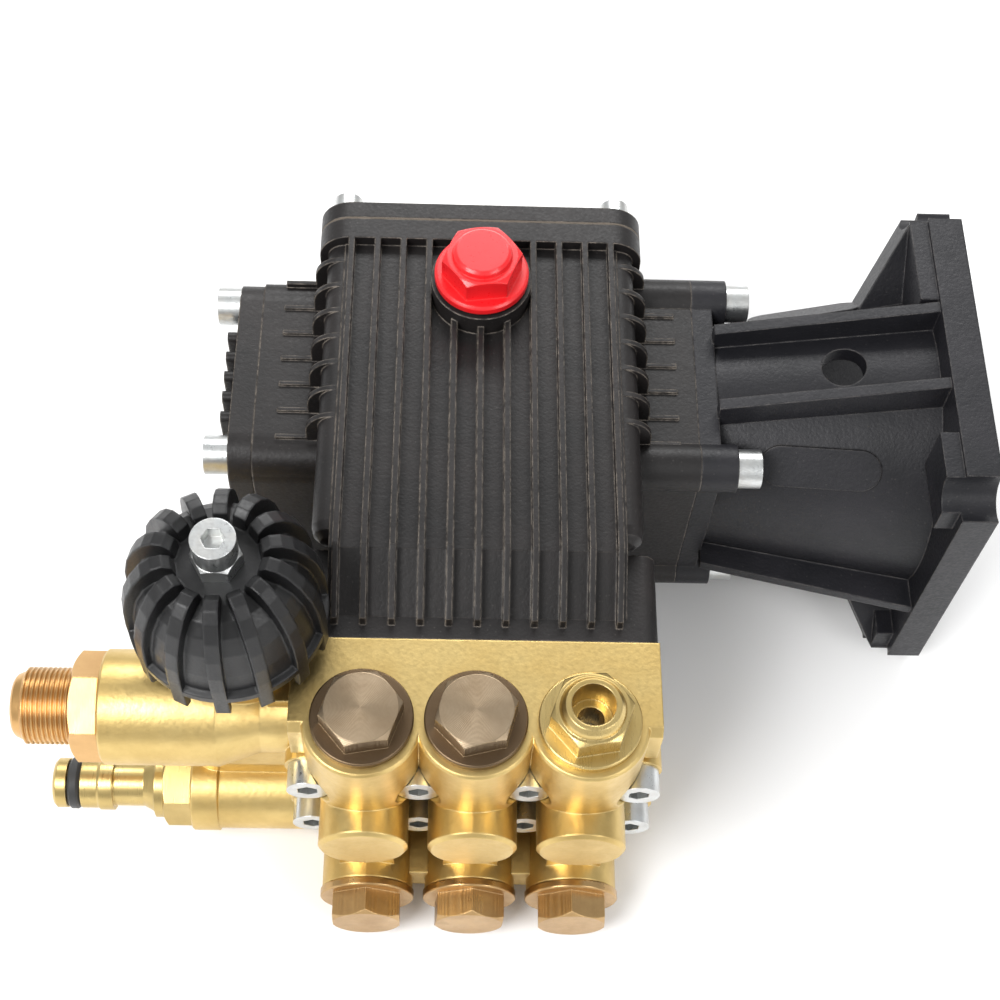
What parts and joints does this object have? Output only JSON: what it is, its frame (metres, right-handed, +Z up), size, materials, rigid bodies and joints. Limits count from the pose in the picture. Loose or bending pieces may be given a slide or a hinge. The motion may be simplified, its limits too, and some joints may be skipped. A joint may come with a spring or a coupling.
{
  "type": "pressure washer pump",
  "caption": "Three-cylinder plunger pump with finned black crankcase, brass valve manifold, pressure unloader knob, hose fittings and flared engine adapter.",
  "frame": {"origin": "on the crankshaft's axis in the face of the engine flange", "axes": "+X along the crankshaft out of the bell's mouth towards the engine, +Y towards the rear cover, +Z up"},
  "size_m": [0.3068, 0.226, 0.1625],
  "materials": {
    "black_casting": "satin paint over a sand casting",
    "gasket": "fibre gasket",
    "zinc_screws": "bright zinc plate",
    "rubber": "matt rubber",
    "red_plastic": "moulded gloss",
    "yellow_brass": "forged and turned brass",
    "bronze": "turned, brown tinge",
    "bright_steel": "ground steel",
    "forged_steel": "ground journals",
    "black_plastic": "moulded, satin",
    "aluminium": "die cast",
    "ceramic": "polished"
  },
  "bodies": {
    "pump_body": {"crankcase": "black_casting", "rear_cover_gasket": "gasket", "rear_cover": "black_casting", "rear_cover_screws": "zinc_screws", "bearing_cover": "black_casting", "bearing_cover_screws": "zinc_screws", "engine_adapter": "black_casting", "adapter_screws": "zinc_screws", "shaft_seal": "rubber", "oil_cap_seal": "rubber", "oil_fill_cap": "red_plastic", "manifold": "yellow_brass", "manifold_screws": "zinc_screws", "discharge_caps": "bronze", "gauge_port_cap": "yellow_brass", "suction_caps": "bronze", "cap_o_rings": "rubber", "valve_seats": "bright_steel", "valve_cages": "bright_steel", "discharge_springs": "bright_steel", "suction_springs": "bright_steel", "plunger_oil_seals": "rubber", "packing_retainers": "yellow_brass", "plunger_packings": "rubber", "outlet_fitting": "yellow_brass", "inlet_fitting": "yellow_brass", "inlet_o_ring": "rubber", "bearing_outer_races": "bright_steel", "unloader_seat": "bright_steel", "unloader_sleeve": "bronze"},
    "crank": {"crankshaft": "forged_steel", "bearing_inner_races": "bright_steel"},
    "ball_sets": {"bearing_balls": "bright_steel", "bearing_cages": "bright_steel"},
    "unloader_piston": {"unloader_piston": "bright_steel"},
    "spring_follower": {"spring_follower": "bright_steel", "unloader_spring": "bright_steel"},
    "knob": {"unloader_knob": "black_plastic", "knob_screw": "zinc_screws", "knob_nut": "zinc_screws"},
    "rod_1": {"connecting_rod_1": "aluminium"},
    "slider_1": {"crosshead_1": "bright_steel", "wrist_pin_1": "bright_steel", "plunger_1": "ceramic"},
    "discharge_poppet_1": {"discharge_poppet_1": "bright_steel"},
    "suction_poppet_1": {"suction_poppet_1": "bright_steel"},
    "rod_2": {"connecting_rod_2": "aluminium"},
    "slider_2": {"crosshead_2": "bright_steel", "wrist_pin_2": "bright_steel", "plunger_2": "ceramic"},
    "discharge_poppet_2": {"discharge_poppet_2": "bright_steel"},
    "suction_poppet_2": {"suction_poppet_2": "bright_steel"},
    "rod_3": {"connecting_rod_3": "aluminium"},
    "slider_3": {"crosshead_3": "bright_steel", "wrist_pin_3": "bright_steel", "plunger_3": "ceramic"},
    "discharge_poppet_3": {"discharge_poppet_3": "bright_steel"},
    "suction_poppet_3": {"suction_poppet_3": "bright_steel"}
  },
  "joints": [
    {"name": "crank_spin", "type": "hinge", "parent": "pump_body", "child": "crank", "pos_m": [-0.164, 0, 0], "axis": [1, 0, 0], "continuous": true},
    {"name": "ball_sets_roll", "type": "hinge", "parent": "pump_body", "child": "ball_sets", "pos_m": [-0.164, 0, 0], "axis": [1, 0, 0], "continuous": true},
    {"name": "crankpin_1", "type": "hinge", "parent": "crank", "child": "rod_1", "pos_m": [-0.198, -0.003, 0], "axis": [1, 0, 0], "continuous": true},
    {"name": "plunger_stroke_1", "type": "slide", "parent": "pump_body", "child": "slider_1", "axis": [0, -1, 0], "range_m": [-0.006, 0]},
    {"name": "discharge_lift_1", "type": "slide", "parent": "pump_body", "child": "discharge_poppet_1", "axis": [0, 0, 1], "range_m": [0, 0.002], "stiffness_N_per_m": 200, "springref_m": -0.003, "deforming": ["discharge_springs"]},
    {"name": "suction_lift_1", "type": "slide", "parent": "pump_body", "child": "suction_poppet_1", "axis": [0, -1, 0], "range_m": [0, 0.002], "stiffness_N_per_m": 200, "springref_m": -0.003, "deforming": ["suction_springs"]},
    {"name": "crankpin_2", "type": "hinge", "parent": "crank", "child": "rod_2", "pos_m": [-0.164, 0.0015, 0.0026], "axis": [1, 0, 0], "continuous": true},
    {"name": "plunger_stroke_2", "type": "slide", "parent": "pump_body", "child": "slider_2", "axis": [0, -1, 0], "range_m": [-0.0015, 0.0045]},
    {"name": "discharge_lift_2", "type": "slide", "parent": "pump_body", "child": "discharge_poppet_2", "axis": [0, 0, 1], "range_m": [0, 0.002], "stiffness_N_per_m": 200, "springref_m": -0.003},
    {"name": "suction_lift_2", "type": "slide", "parent": "pump_body", "child": "suction_poppet_2", "axis": [0, -1, 0], "range_m": [0, 0.002], "stiffness_N_per_m": 200, "springref_m": -0.003},
    {"name": "crankpin_3", "type": "hinge", "parent": "crank", "child": "rod_3", "pos_m": [-0.13, 0.0015, -0.0026], "axis": [1, 0, 0], "continuous": true},
    {"name": "plunger_stroke_3", "type": "slide", "parent": "pump_body", "child": "slider_3", "axis": [0, -1, 0], "range_m": [-0.0015, 0.0045]},
    {"name": "discharge_lift_3", "type": "slide", "parent": "pump_body", "child": "discharge_poppet_3", "axis": [0, 0, 1], "range_m": [0, 0.002], "stiffness_N_per_m": 200, "springref_m": -0.003},
    {"name": "suction_lift_3", "type": "slide", "parent": "pump_body", "child": "suction_poppet_3", "axis": [0, -1, 0], "range_m": [0, 0.002], "stiffness_N_per_m": 200, "springref_m": -0.003},
    {"name": "unloader_lift", "type": "slide", "parent": "pump_body", "child": "unloader_piston", "axis": [0, 0, 1], "range_m": [0, 0.003], "stiffness_N_per_m": 3000, "springref_m": -0.004},
    {"name": "follower_travel", "type": "slide", "parent": "pump_body", "child": "spring_follower", "axis": [0, 0, 1], "range_m": [0, 0.00452], "deforming": ["unloader_spring"]},
    {"name": "knob_turn", "type": "hinge", "parent": "spring_follower", "child": "knob", "pos_m": [-0.2382, -0.099, 0.07], "axis": [0, 0, 1], "range_deg": [0, 1080]}
  ],
  "couplings": [
    {"joint": "ball_sets_roll", "follows": "crank_spin", "ratio": 0.396},
    {"joint": "crankpin_1", "follows": "crank_spin", "ratio": -1},
    {"joint": "crankpin_2", "follows": "crank_spin", "ratio": -1},
    {"joint": "crankpin_3", "follows": "crank_spin", "ratio": -1},
    {"joint": "follower_travel", "follows": "knob_turn", "m_per_rad": 0.00023873}
  ]
}
